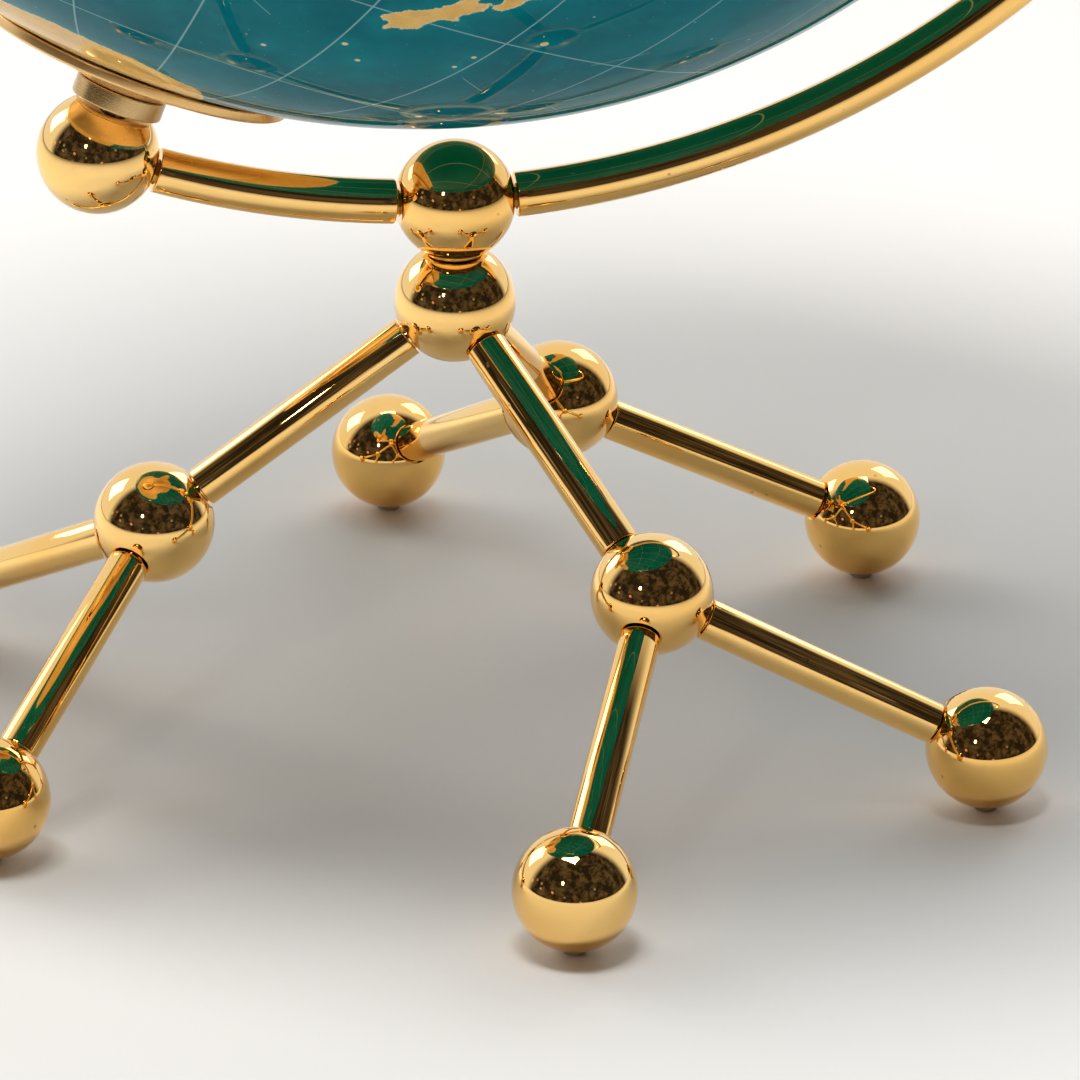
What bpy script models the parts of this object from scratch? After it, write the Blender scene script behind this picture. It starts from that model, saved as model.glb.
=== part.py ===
"""Desktop globe on a ball-and-rod stand: three spreading legs of two tiers, a meridian arc, and a
globe that turns on a tilted polar axis. Metres, +Z up, origin on the floor under the middle of the
object's box, south end of the arc towards -X. The arc leans back a little about its two studs."""

import math

import bmesh
import bpy
from mathutils import Matrix, Vector

# Driving dimensions
BALL_RADIUS = 0.0125
GLOBE_RADIUS = 0.1625
ARC_RADIUS = 0.1959
ARC_ROD_RADIUS = 0.00465
ARC_LEAN = math.radians(4.8)
LEG_ROD_RADIUS = 0.0043
AXIS_TILT = math.radians(21.9)
AXIS_SLIDE = 0.0134
HUB_X = -0.0165
HUB_Y = -0.0153
ROD_PITCH = 0.0771
UPPER_DROP = math.radians(35.5)
LOWER_DROP = math.radians(27.1)
LOWER_SPLAY = math.radians(53.0)
HUB_PITCH = 0.0222
WASHER_THICKNESS = 0.0008
PAD_PROUD = 0.0008
PAD_RADIUS = 0.0026
PAD_HEIGHT = 0.0026
GAP = 0.0003

# Ball and rod joints, as distances from a ball's centre
SPOT_FACE = 0.93 * BALL_RADIUS
LEG_ROD_END = 0.97 * BALL_RADIUS
ARC_ROD_END = 1.00 * BALL_RADIUS
SPIGOT_END = 0.50 * BALL_RADIUS
SPIGOT_RADIUS = 0.0030
ARC_STUD_RADIUS = 0.0024
ARC_STUD_END = ARC_ROD_END + 0.0060

# Polar fittings, as distances from a pole ball's centre towards the globe
POLE_FLAT = 0.76 * BALL_RADIUS
COLLAR_START = 0.83 * BALL_RADIUS
COLLAR_LENGTH = 0.0042
COLLAR_RADIUS = 0.0095
DISH_RADIUS = 0.0330
DISH_RISE = 0.0057
DISH_FLARE = 1.3
DISH_EDGE = 0.0023
DISH_WALL = 0.0013
DISH_BOSS_RADIUS = 0.0050
DISH_BOSS_HEIGHT = 0.0024
FITTING_BORE = 0.0027
PIN_RADIUS = 0.0020
PIN_START = 0.0045
PIN_REACH = 0.0160
BUSH_RADIUS = 0.0047
BUSH_FLANGE_RADIUS = 0.0085
BUSH_LENGTH = 0.0100
THRUST_RADIUS = 0.0090
THRUST_THICKNESS = 0.0015

# Globe shells
SHELL_WALL = 0.0020
RING_WALL = 0.0020
RING_HALF_HEIGHT = 0.0060

BALL_SEGMENTS = 16
BALL_RINGS = 8
BORE_SEGMENTS = 10
ROD_SEGMENTS = 14
FITTING_SEGMENTS = 24
SHELL_SEGMENTS = 36
SHELL_RINGS = 8
DISH_STEPS = 6
ARC_STEP = math.radians(5)

UP = Vector((0, 0, 1))
ALONG = Vector((1, 0, 0))
ARC_UP = Vector((0, math.sin(ARC_LEAN), math.cos(ARC_LEAN)))
FOOT_CENTRE_Z = BALL_RADIUS + PAD_PROUD
MID_Z = FOOT_CENTRE_Z + ROD_PITCH * math.sin(LOWER_DROP)
HUB_Z = MID_Z + ROD_PITCH * math.sin(UPPER_DROP)
HUB = Vector((HUB_X, HUB_Y, HUB_Z))
UPPER_HUB = HUB + HUB_PITCH * UP
ARC_CENTRE = UPPER_HUB + ARC_RADIUS * ARC_UP
POLAR_AXIS = math.sin(AXIS_TILT) * ALONG + math.cos(AXIS_TILT) * ARC_UP
GLOBE_CENTRE = ARC_CENTRE - AXIS_SLIDE * POLAR_AXIS
LEGS = {"left": math.pi, "front": -math.pi / 3, "rear": math.pi / 3}


def clear_scene():
    for obj in list(bpy.data.objects):
        bpy.data.objects.remove(obj)


def new_collection(name):
    collection = bpy.data.collections.new(name)
    bpy.context.scene.collection.children.link(collection)
    return collection


def new_material(name, colour, roughness, metallic):
    material = bpy.data.materials.new(name)
    material.use_nodes = True
    shader = material.node_tree.nodes["Principled BSDF"]
    shader.inputs["Base Color"].default_value = (*colour, 1)
    shader.inputs["Roughness"].default_value = roughness
    shader.inputs["Metallic"].default_value = metallic
    return material


def place(obj, origin, direction):
    """Puts the object's origin at a point and its local +Z along a direction."""
    obj.location = origin
    obj.rotation_mode = "QUATERNION"
    obj.rotation_quaternion = direction.to_track_quat("Z", "Y")
    return obj


def new_part(name, mesh, material):
    obj = bpy.data.objects.new(name, mesh)
    PARTS.objects.link(obj)
    if material and not mesh.materials:
        mesh.materials.append(material)
    return obj


def profile_mesh(name, points, closed):
    """A chain of (radius, height) points in the XZ plane, running down the outer side."""
    mesh = bpy.data.meshes.new(name)
    edges = [(i, i + 1) for i in range(len(points) - 1)]
    if closed:
        edges.append((len(points) - 1, 0))
    mesh.from_pydata([(r, 0, z) for r, z in points], edges, [])
    return mesh


def add_screw(obj, segments):
    screw = obj.modifiers.new("turn", "SCREW")
    screw.steps = segments
    screw.render_steps = segments
    screw.use_merge_vertices = True
    screw.merge_threshold = 0.00001
    screw.use_smooth_shade = True


def turned(name, points, material, origin, direction, segments, closed=False):
    """A turned piece from its profile, standing along a direction."""
    obj = new_part(name, profile_mesh(name, points, closed), material)
    add_screw(obj, segments)
    return place(obj, origin, direction)


def cut_with(obj, points, origin, direction, segments):
    """Cuts a turned hole out of the object, from a profile that runs top to bottom."""
    name = f"{obj.name}_cut_{len(obj.modifiers)}"
    cutter = bpy.data.objects.new(name, profile_mesh(name, points, False))
    CUTTERS.objects.link(cutter)
    add_screw(cutter, segments)
    place(cutter, origin, direction)
    cutter.hide_render = True
    cutter.display_type = "WIRE"
    boolean = obj.modifiers.new(name, "BOOLEAN")
    boolean.operation = "DIFFERENCE"
    boolean.object = cutter


def socket_profile(flat, bore_radius, bore_end):
    """A spot face at the height flat, with a blind bore from it down to bore_end."""
    top = 1.4 * BALL_RADIUS
    wide = 0.9 * BALL_RADIUS
    return [(0, top), (wide, top), (wide, flat), (bore_radius, flat), (bore_radius, bore_end), (0, bore_end)]


def ball(name, centre, sockets):
    """A ball with a spot face and a blind bore for each (direction, flat, bore radius, bore end)."""
    shape = bmesh.new()
    bmesh.ops.create_uvsphere(shape, u_segments=BALL_SEGMENTS, v_segments=BALL_RINGS, radius=BALL_RADIUS)
    mesh = bpy.data.meshes.new(name)
    shape.to_mesh(mesh)
    shape.free()
    mesh.shade_smooth()
    obj = new_part(name, mesh, GOLD)
    obj.location = centre
    for direction, flat, bore_radius, bore_end in sockets:
        profile = socket_profile(flat, bore_radius, bore_end)
        cut_with(obj, profile, centre, direction, BORE_SEGMENTS)
    return obj


def rod_socket(direction, radius=SPIGOT_RADIUS):
    """A spot face and a bore for the spigot or stud of a rod that leaves in this direction."""
    return direction, SPOT_FACE, radius + GAP, SPIGOT_END - 2 * GAP


def leg_rod(name, start, end):
    """A straight rod between two ball centres, with a threaded spigot at each end."""
    direction = (end - start).normalized()
    length = (end - start).length
    top = length - LEG_ROD_END
    chamfer = 0.0003
    points = [
        (0, length - SPIGOT_END),
        (SPIGOT_RADIUS, length - SPIGOT_END),
        (SPIGOT_RADIUS, top),
        (LEG_ROD_RADIUS - chamfer, top),
        (LEG_ROD_RADIUS, top - chamfer),
        (LEG_ROD_RADIUS, LEG_ROD_END + chamfer),
        (LEG_ROD_RADIUS - chamfer, LEG_ROD_END),
        (SPIGOT_RADIUS, LEG_ROD_END),
        (SPIGOT_RADIUS, SPIGOT_END),
        (0, SPIGOT_END),
    ]
    return turned(name, points, GOLD, start, direction, ROD_SEGMENTS)


def foot(name, mid, foot_centre):
    """A foot ball with its pad, on the end of a lower rod."""
    to_mid = (mid - foot_centre).normalized()
    pad_recess = (-UP, BALL_RADIUS + 2 * PAD_PROUD, PAD_RADIUS + GAP, FOOT_CENTRE_Z - PAD_HEIGHT - GAP)
    ball(f"foot_ball_{name}", foot_centre, [rod_socket(to_mid), pad_recess])
    leg_rod(f"lower_rod_{name}", mid, foot_centre)
    edge = 0.0004
    points = [(0, PAD_HEIGHT), (PAD_RADIUS, PAD_HEIGHT), (PAD_RADIUS, edge), (PAD_RADIUS - edge, 0), (0, 0)]
    base = Vector((foot_centre.x, foot_centre.y, 0))
    turned(f"foot_pad_{name}", points, RUBBER, base, UP, ROD_SEGMENTS)


def leg(name, azimuth):
    """One leg: an upper rod, a middle ball and two lower rods that splay to their feet."""
    outward = Vector((math.cos(azimuth), math.sin(azimuth), 0))
    mid = HUB + ROD_PITCH * (math.cos(UPPER_DROP) * outward - math.sin(UPPER_DROP) * UP)
    feet = {}
    for side, turn in (("a", -LOWER_SPLAY), ("b", LOWER_SPLAY)):
        level = Matrix.Rotation(turn, 3, "Z") @ outward
        feet[side] = mid + ROD_PITCH * (math.cos(LOWER_DROP) * level - math.sin(LOWER_DROP) * UP)
    leg_rod(f"upper_rod_{name}", HUB, mid)
    ends = [HUB, *feet.values()]
    ball(f"mid_ball_{name}", mid, [rod_socket((end - mid).normalized()) for end in ends])
    for side, centre in feet.items():
        foot(f"{name}_{side}", mid, centre)
    return (mid - HUB).normalized()


def arc_point(angle):
    """A point of the arc's centreline, by its angle from the lowest point towards +X."""
    return ARC_CENTRE + ARC_RADIUS * (math.sin(angle) * ALONG - math.cos(angle) * ARC_UP)


def arc_tangent(angle):
    return math.cos(angle) * ALONG + math.sin(angle) * ARC_UP


def arc_rod(name, first_ball, last_ball):
    """A bent round rod of the meridian arc between two balls, with a blind socket in each end."""
    cut = ARC_ROD_END / ARC_RADIUS
    start = first_ball + cut
    end = last_ball - cut
    steps = max(4, math.ceil((end - start) / ARC_STEP))
    data = bpy.data.curves.new(name + "_line", "CURVE")
    data.dimensions = "3D"
    data.bevel_depth = ARC_ROD_RADIUS
    data.bevel_resolution = 2
    data.use_fill_caps = True
    spline = data.splines.new("POLY")
    spline.points.add(steps)
    for i, point in enumerate(spline.points):
        point.co = (*arc_point(start + (end - start) * i / steps), 1)
    line = bpy.data.objects.new(name + "_line", data)
    PARTS.objects.link(line)
    bpy.context.view_layer.update()
    mesh = bpy.data.meshes.new_from_object(line.evaluated_get(bpy.context.evaluated_depsgraph_get()))
    bpy.data.objects.remove(line)
    mesh.materials.clear()
    obj = new_part(name, mesh, GOLD)
    weld = obj.modifiers.new("weld", "WELD")
    weld.merge_threshold = 0.00001
    bore = ARC_STUD_RADIUS + GAP
    bottom = ARC_STUD_END + 2 * GAP
    profile = [(0, bottom), (bore, bottom), (bore, SPOT_FACE), (0, SPOT_FACE)]
    for angle, side in ((first_ball, 1), (last_ball, -1)):
        cut_with(obj, profile, arc_point(angle), side * arc_tangent(angle), BORE_SEGMENTS)
    return obj


def plain_pin(name, start, end, radius, material):
    """A straight pin between two points, chamfered at both ends."""
    length = (end - start).length
    chamfer = 0.2 * radius
    points = [(0, length), (radius - chamfer, length), (radius, length - chamfer)]
    points += [(radius, chamfer), (radius - chamfer, 0), (0, 0)]
    return turned(name, points, material, start, (end - start).normalized(), BORE_SEGMENTS)


def arc_stud(name, ball_angle, side):
    """A stud from a ball on the arc into the end of the rod beside it."""
    centre = arc_point(ball_angle)
    direction = side * arc_tangent(ball_angle)
    inner = centre + SPIGOT_END * direction
    outer = centre + ARC_STUD_END * direction
    plain_pin(name, inner, outer, ARC_STUD_RADIUS, STEEL)


def ring(name, inner, outer, bottom, top, material, origin, direction):
    """A flat ring between two radii and two heights."""
    points = [(inner, top), (outer, top), (outer, bottom), (inner, bottom)]
    return turned(name, points, material, origin, direction, FITTING_SEGMENTS, closed=True)


def hub():
    """The two hub balls, with the washer in their neck and the stud that joins them."""
    flat = (HUB_PITCH - WASHER_THICKNESS) / 2 - GAP
    neck = (flat, SPIGOT_RADIUS + GAP, SPIGOT_END - 2 * GAP)
    rods = [rod_socket(leg(name, azimuth)) for name, azimuth in LEGS.items()]
    ball("hub_ball_lower", HUB, [*rods, (UP, *neck)])
    arms = [rod_socket(side * arc_tangent(0), ARC_STUD_RADIUS) for side in (1, -1)]
    ball("hub_ball_upper", UPPER_HUB, [*arms, (-UP, *neck)])
    middle = HUB + HUB_PITCH / 2 * UP
    half = WASHER_THICKNESS / 2
    ring("hub_washer", SPIGOT_RADIUS + GAP, 0.0056, -half, half, STEEL, middle, UP)
    plain_pin("hub_stud", HUB + SPIGOT_END * UP, UPPER_HUB - SPIGOT_END * UP, SPIGOT_RADIUS, STEEL)


def meridian_arc():
    """The arc in two bent rods either side of the upper hub ball, and their four studs."""
    south_angle = -AXIS_TILT
    north_angle = math.pi - AXIS_TILT
    arc_rod("arc_rod_short", south_angle, 0)
    arc_rod("arc_rod_long", 0, north_angle)
    arc_stud("arc_stud_south", south_angle, 1)
    arc_stud("arc_stud_hub_short", 0, -1)
    arc_stud("arc_stud_hub_long", 0, 1)
    arc_stud("arc_stud_north", north_angle, -1)


def pole(side, name, spacer_length):
    """The fittings at one pole, from the arc's ball to the bush in the globe's shell."""
    outward = side * POLAR_AXIS
    inward = -outward
    centre = ARC_CENTRE + ARC_RADIUS * outward
    to_rod = arc_tangent(-AXIS_TILT) if side < 0 else -arc_tangent(math.pi - AXIS_TILT)
    pin_bore = (inward, POLE_FLAT, PIN_RADIUS + GAP, PIN_START - GAP)
    ball(f"{name}_ball", centre, [rod_socket(to_rod, ARC_STUD_RADIUS), pin_bore])

    start = COLLAR_START + spacer_length
    end = start + COLLAR_LENGTH
    bevel = 0.0005
    collar = [(FITTING_BORE, end), (COLLAR_RADIUS, end), (COLLAR_RADIUS, start + bevel)]
    collar += [(COLLAR_RADIUS - bevel, start), (FITTING_BORE, start)]
    turned(f"{name}_collar", collar, CHAMPAGNE, centre, inward, FITTING_SEGMENTS, closed=True)
    dish = dish_profile(end + GAP)
    turned(f"{name}_dish", dish, GOLD, centre, inward, FITTING_SEGMENTS, closed=True)

    bore = PIN_RADIUS + GAP
    surface = (centre - GLOBE_CENTRE).length - GLOBE_RADIUS
    washer_end = surface - 0.0004
    washer_start = washer_end - THRUST_THICKNESS
    ring(f"{name}_thrust_washer", bore, THRUST_RADIUS, washer_start, washer_end, NYLON, centre, inward)
    pin_end = surface + PIN_REACH
    plain_pin(f"{name}_axle_pin", centre + PIN_START * inward, centre + pin_end * inward, PIN_RADIUS, STEEL)

    flange = surface + SHELL_WALL + 2 * GAP
    bush = [(bore, surface + BUSH_LENGTH), (BUSH_RADIUS, surface + BUSH_LENGTH)]
    bush += [(BUSH_RADIUS, flange + 0.0015), (BUSH_FLANGE_RADIUS, flange + 0.0015)]
    bush += [(BUSH_FLANGE_RADIUS, flange), (BUSH_RADIUS, flange), (BUSH_RADIUS, surface), (bore, surface)]
    turned(f"{name}_bush", bush, NYLON, centre, inward, FITTING_SEGMENTS, closed=True)
    return centre, inward


def dish_profile(bottom):
    """The shallow dish at a pole, rising from the collar to a thick rim, with a boss inside."""
    under = []
    inner = []
    for i in range(DISH_STEPS + 1):
        share = i / DISH_STEPS
        radius = COLLAR_RADIUS + (DISH_RADIUS - COLLAR_RADIUS) * share
        height = bottom + DISH_RISE * (1 - (1 - share) ** DISH_FLARE)
        under.append((radius, height))
        inner.append((radius, height + DISH_WALL + (DISH_EDGE - DISH_WALL) * share))
    boss = bottom + DISH_BOSS_HEIGHT
    floor = inner[0][1]
    top = [(FITTING_BORE, boss), (DISH_BOSS_RADIUS, boss), (DISH_BOSS_RADIUS, floor)]
    return top + inner + under[::-1] + [(FITTING_BORE, bottom)]


def north_spacer(centre, inward, length):
    """The sleeve that fills the longer gap between the north ball and its collar."""
    start = COLLAR_START
    end = start + length - GAP
    ring("north_spacer", PIN_RADIUS + GAP, ARC_ROD_RADIUS, start, end, GOLD, centre, inward)


def shell_profile():
    """One half of the globe's shell, from the hole at its pole down to the equator and back inside."""
    hole = BUSH_RADIUS + GAP
    inner_radius = GLOBE_RADIUS - SHELL_WALL
    edge = GAP / 2
    points = []
    for radius, reverse in ((GLOBE_RADIUS, False), (inner_radius, True)):
        first = math.asin(hole / radius)
        last = math.acos(edge / radius)
        arc = []
        for i in range(SHELL_RINGS + 1):
            angle = first + (last - first) * i / SHELL_RINGS
            arc.append((radius * math.sin(angle), radius * math.cos(angle)))
        points += reversed(arc) if reverse else arc
    return points


def globe():
    """The two half shells and the band inside that joins them, parented to the polar axis."""
    axis = bpy.data.objects.new("globe_axis", None)
    PARTS.objects.link(axis)
    place(axis, GLOBE_CENTRE, POLAR_AXIS)
    origin = Vector((0, 0, 0))
    north = turned("globe_shell_north", shell_profile(), OCEAN, origin, UP, SHELL_SEGMENTS, closed=True)
    south = new_part("globe_shell_south", north.data, OCEAN)
    add_screw(south, SHELL_SEGMENTS)
    south.rotation_euler = (math.pi, 0, 0)
    outer = GLOBE_RADIUS - SHELL_WALL - 2 * GAP
    band = [(outer - RING_WALL, RING_HALF_HEIGHT), (outer, RING_HALF_HEIGHT)]
    band += [(outer, -RING_HALF_HEIGHT), (outer - RING_WALL, -RING_HALF_HEIGHT)]
    join = turned("equator_ring", band, NYLON, origin, UP, SHELL_SEGMENTS, closed=True)
    for obj in (north, south, join):
        obj.parent = axis


clear_scene()
PARTS = new_collection("desktop_globe")
CUTTERS = new_collection("cutters")
GOLD = new_material("polished_gold", (0.86, 0.58, 0.20), 0.08, 1.0)
CHAMPAGNE = new_material("champagne_gold", (0.55, 0.42, 0.25), 0.38, 0.6)
STEEL = new_material("stud_steel", (0.60, 0.58, 0.55), 0.30, 1.0)
OCEAN = new_material("globe_print", (0.01, 0.13, 0.16), 0.08, 0.0)
NYLON = new_material("white_nylon", (0.80, 0.79, 0.75), 0.50, 0.0)
RUBBER = new_material("clear_rubber", (0.45, 0.38, 0.25), 0.60, 0.0)

hub()
meridian_arc()
pole(-1, "south", 0.0)
spacer = 2 * AXIS_SLIDE
north_centre, north_inward = pole(1, "north", spacer)
north_spacer(north_centre, north_inward, spacer)
globe()
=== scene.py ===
import math

import bmesh
import bpy
import numpy as np
from mathutils import Matrix, Vector


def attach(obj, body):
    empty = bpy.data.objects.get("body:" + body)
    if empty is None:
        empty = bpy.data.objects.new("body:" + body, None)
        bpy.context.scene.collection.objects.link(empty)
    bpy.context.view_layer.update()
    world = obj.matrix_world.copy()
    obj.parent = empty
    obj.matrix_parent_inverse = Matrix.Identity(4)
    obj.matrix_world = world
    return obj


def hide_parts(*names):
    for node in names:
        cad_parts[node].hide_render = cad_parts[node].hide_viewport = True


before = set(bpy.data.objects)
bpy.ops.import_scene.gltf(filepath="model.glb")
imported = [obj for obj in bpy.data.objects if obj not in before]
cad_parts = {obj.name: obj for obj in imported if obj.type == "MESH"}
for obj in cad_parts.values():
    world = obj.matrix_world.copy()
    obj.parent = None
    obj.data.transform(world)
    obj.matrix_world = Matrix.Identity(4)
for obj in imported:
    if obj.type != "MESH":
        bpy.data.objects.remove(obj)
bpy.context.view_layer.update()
scene = bpy.context.scene

# ------------------------------------------------- the part's driving sizes, in metres
BALL_RADIUS = 0.0125
GLOBE_RADIUS = 0.1625
ARC_RADIUS = 0.1959
ARC_ROD_RADIUS = 0.00465
ARC_LEAN = math.radians(4.8)
LEG_ROD_RADIUS = 0.0043
AXIS_TILT = math.radians(21.9)
AXIS_SLIDE = 0.0134
ROD_PITCH = 0.0771
UPPER_DROP = math.radians(35.5)
LOWER_DROP = math.radians(27.1)
LOWER_SPLAY = math.radians(53.0)
HUB_PITCH = 0.0222
WASHER_THICKNESS = 0.0008
PAD_PROUD = 0.0008
PAD_RADIUS = 0.0026
PAD_HEIGHT = 0.0026
GAP = 0.0003
SPOT_FACE = 0.93 * BALL_RADIUS
LEG_ROD_END = 0.97 * BALL_RADIUS
ARC_ROD_END = 1.00 * BALL_RADIUS
SPIGOT_END = 0.50 * BALL_RADIUS
SPIGOT_RADIUS = 0.0030
ARC_STUD_RADIUS = 0.0024
ARC_STUD_END = ARC_ROD_END + 0.0060
POLE_FLAT = 0.76 * BALL_RADIUS
COLLAR_START = 0.83 * BALL_RADIUS
COLLAR_LENGTH = 0.0042
COLLAR_RADIUS = 0.0095
DISH_RADIUS = 0.0330
DISH_RISE = 0.0057
DISH_FLARE = 1.3
DISH_EDGE = 0.0023
DISH_WALL = 0.0013
DISH_BOSS_RADIUS = 0.0050
DISH_BOSS_HEIGHT = 0.0024
FITTING_BORE = 0.0027
PIN_RADIUS = 0.0020
PIN_START = 0.0045
BUSH_RADIUS = 0.0047
SHELL_WALL = 0.0020

BALL_SEGMENTS = 96
BALL_RINGS = 48
ROD_SEGMENTS = 64
FITTING_SEGMENTS = 128
ARC_STEP = math.radians(1.1)
DISH_STEPS = 24
# Steps of the globe's mesh in degrees, fine round the detailed islands of the map
FINE_STEP = 0.45
COARSE_STEP = 1.2
POLAR_STEP = 1.5
FINE_WEST = 135
FINE_EAST = 230
FINE_SOUTH = -64
FINE_NORTH = -28
# Rounding of edges
ROD_EDGE = 0.00035
RIM_TOP = 0.00035
RIM_LOW = 0.0006
COLLAR_EDGE = 0.00055
PAD_EDGE = 0.0005
SMALL_BEVEL = 0.0002
BORE_LIP = 0.00022

UP = Vector((0, 0, 1))
ALONG = Vector((1, 0, 0))
ARC_UP = Vector((0, math.sin(ARC_LEAN), math.cos(ARC_LEAN)))
FOOT_CENTRE_Z = BALL_RADIUS + PAD_PROUD
HUB_Z = FOOT_CENTRE_Z + ROD_PITCH * (math.sin(LOWER_DROP) + math.sin(UPPER_DROP))
HUB = Vector((-0.0165, -0.0153, HUB_Z))
UPPER_HUB = HUB + HUB_PITCH * UP
ARC_CENTRE = UPPER_HUB + ARC_RADIUS * ARC_UP
ARC_ACROSS = ALONG.cross(ARC_UP).normalized()
POLAR_AXIS = math.sin(AXIS_TILT) * ALONG + math.cos(AXIS_TILT) * ARC_UP
GLOBE_CENTRE = ARC_CENTRE - AXIS_SLIDE * POLAR_AXIS
LEGS = {"left": math.pi, "front": -math.pi / 3, "rear": math.pi / 3}

# The map's own axes: the first points at this meridian, in degrees east
MAP_MERIDIAN = 247.24
MAP_X = (ALONG - ALONG.dot(POLAR_AXIS) * POLAR_AXIS).normalized()
MAP_Y = POLAR_AXIS.cross(MAP_X)


# ------------------------------------------------- node helpers
class Nodes:
    """A material's node tree, with one short call for each kind of node."""

    def __init__(self, name):
        self.material = bpy.data.materials.new(name)
        self.material.use_nodes = True
        self.tree = self.material.node_tree
        self.shader = self.tree.nodes["Principled BSDF"]

    def link(self, value, socket):
        if isinstance(value, bpy.types.NodeSocket):
            self.tree.links.new(value, socket)
        elif value is not None:
            socket.default_value = value

    def node(self, kind, inputs=(), **settings):
        made = self.tree.nodes.new(kind)
        for key, value in settings.items():
            setattr(made, key, value)
        for key, value in dict(inputs).items():
            self.link(value, made.inputs[key])
        return made

    def math(self, operation, a, b=None, c=None, clamp=False):
        made = self.node("ShaderNodeMath", operation=operation, use_clamp=clamp)
        for socket, value in zip(made.inputs, (a, b, c)):
            self.link(value, socket)
        return made.outputs[0]

    def dot(self, a, vector):
        made = self.node("ShaderNodeVectorMath", operation="DOT_PRODUCT")
        self.link(a, made.inputs[0])
        made.inputs[1].default_value = vector
        return made.outputs["Value"]

    def noise(self, vector, scale, detail=3.0, roughness=0.5, distortion=0.0):
        made = self.node("ShaderNodeTexNoise", {"Vector": vector, "Scale": scale, "Detail": detail,
                                                "Roughness": roughness, "Distortion": distortion})
        return made.outputs["Fac"]

    def cells(self, vector, scale):
        return self.node("ShaderNodeTexVoronoi", {"Vector": vector, "Scale": scale})

    def step(self, value, low, high, to_low=0.0, to_high=1.0):
        """A smooth step of the value from low to high."""
        made = self.node("ShaderNodeMapRange", {"Value": value, "From Min": low, "From Max": high,
                                                "To Min": to_low, "To Max": to_high},
                         interpolation_type="SMOOTHSTEP")
        return made.outputs["Result"]

    def mix(self, share, a, b, blend="MIX"):
        made = self.node("ShaderNodeMix", data_type="RGBA", blend_type=blend)
        for index, value in ((0, share), (6, a), (7, b)):
            self.link((*value, 1) if isinstance(value, tuple) and len(value) == 3 else value,
                      made.inputs[index])
        return made.outputs[2]

    def place(self):
        return self.node("ShaderNodeTexCoord").outputs["Object"]

    def bump(self, height, strength, distance, normal=None):
        made = self.node("ShaderNodeBump", {"Height": height, "Strength": strength, "Distance": distance})
        self.link(normal, made.inputs["Normal"])
        return made.outputs["Normal"]

    def set(self, **values):
        names = {"color": "Base Color", "rough": "Roughness", "metal": "Metallic", "normal": "Normal",
                 "coat": "Coat Weight", "coat_rough": "Coat Roughness", "coat_normal": "Coat Normal",
                 "specular": "Specular IOR Level", "through": "Transmission Weight",
                 "below": "Subsurface Weight"}
        for key, value in values.items():
            socket = self.shader.inputs[names[key]]
            if isinstance(value, tuple) and len(value) == 3:
                value = (*value, 1)
            self.link(value, socket)
        return self.material


def gold_material():
    """Mirror-polished gold plate: slow changes of tone, faint polishing swirls, and a few pits and specks."""
    n = Nodes("polished_gold_look")
    at = n.place()
    tone = n.noise(at, 22.0, 4.0, 0.55)
    fine = n.noise(at, 260.0, 3.0, 0.6)
    colour = n.mix(n.step(tone, 0.35, 0.68), (0.98, 0.585, 0.170), (1.0, 0.665, 0.250))
    colour = n.mix(n.step(fine, 0.56, 0.80, 0.0, 0.25), colour, (0.86, 0.48, 0.12))
    spots = n.cells(at, 330.0)
    picked = n.math("GREATER_THAN", n.dot(spots.outputs["Color"], (1.0, 0.0, 0.0)), 0.93)
    pit = n.math("MULTIPLY", picked, n.step(spots.outputs["Distance"], 0.20, 0.05), clamp=True)
    colour = n.mix(n.math("MULTIPLY", pit, 0.6), colour, (0.38, 0.20, 0.07))
    rough = n.math("ADD", n.step(tone, 0.3, 0.75, 0.018, 0.05), n.math("MULTIPLY", pit, 0.3))
    drawn_out = n.node("ShaderNodeMapping", {"Vector": at, "Scale": (1.0, 1.0, 7.0)}).outputs[0]
    smear = n.noise(drawn_out, 90.0, 5.0, 0.65)
    rough = n.math("ADD", rough, n.step(smear, 0.55, 0.85, 0.0, 0.07))
    ripple = n.bump(n.noise(at, 60.0, 2.0, 0.45), 0.10, 0.00012)
    hollow = n.bump(n.math("SUBTRACT", 1.0, pit), 0.35, 0.00008, ripple)
    return n.set(color=colour, rough=rough, metal=1.0, normal=hollow)


def champagne_material():
    """Satin champagne lacquer over turned metal, with faint turning lines round the axis."""
    n = Nodes("champagne_look")
    at = n.place()
    height = n.dot(at, tuple(POLAR_AXIS))
    lines = n.node("ShaderNodeTexWave", {"Vector": n.node("ShaderNodeCombineXYZ", {"X": height}).outputs[0],
                                         "Scale": 520.0, "Distortion": 0.6, "Detail": 2.0}).outputs["Fac"]
    tone = n.noise(at, 70.0, 3.0, 0.5)
    colour = n.mix(n.step(tone, 0.35, 0.7), (0.63, 0.42, 0.18), (0.73, 0.52, 0.26))
    colour = n.mix(n.step(n.noise(at, 900.0, 2.0), 0.6, 0.8, 0.0, 0.3), colour, (0.40, 0.28, 0.15))
    rough = n.math("ADD", n.step(tone, 0.3, 0.7, 0.24, 0.36), n.math("MULTIPLY", lines, 0.05))
    bump = n.bump(n.math("ADD", n.math("MULTIPLY", lines, 0.4), n.noise(at, 1500.0, 2.0)), 0.06, 0.00002)
    return n.set(color=colour, rough=rough, metal=0.85, normal=bump, coat=0.25, coat_rough=0.2)


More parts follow.
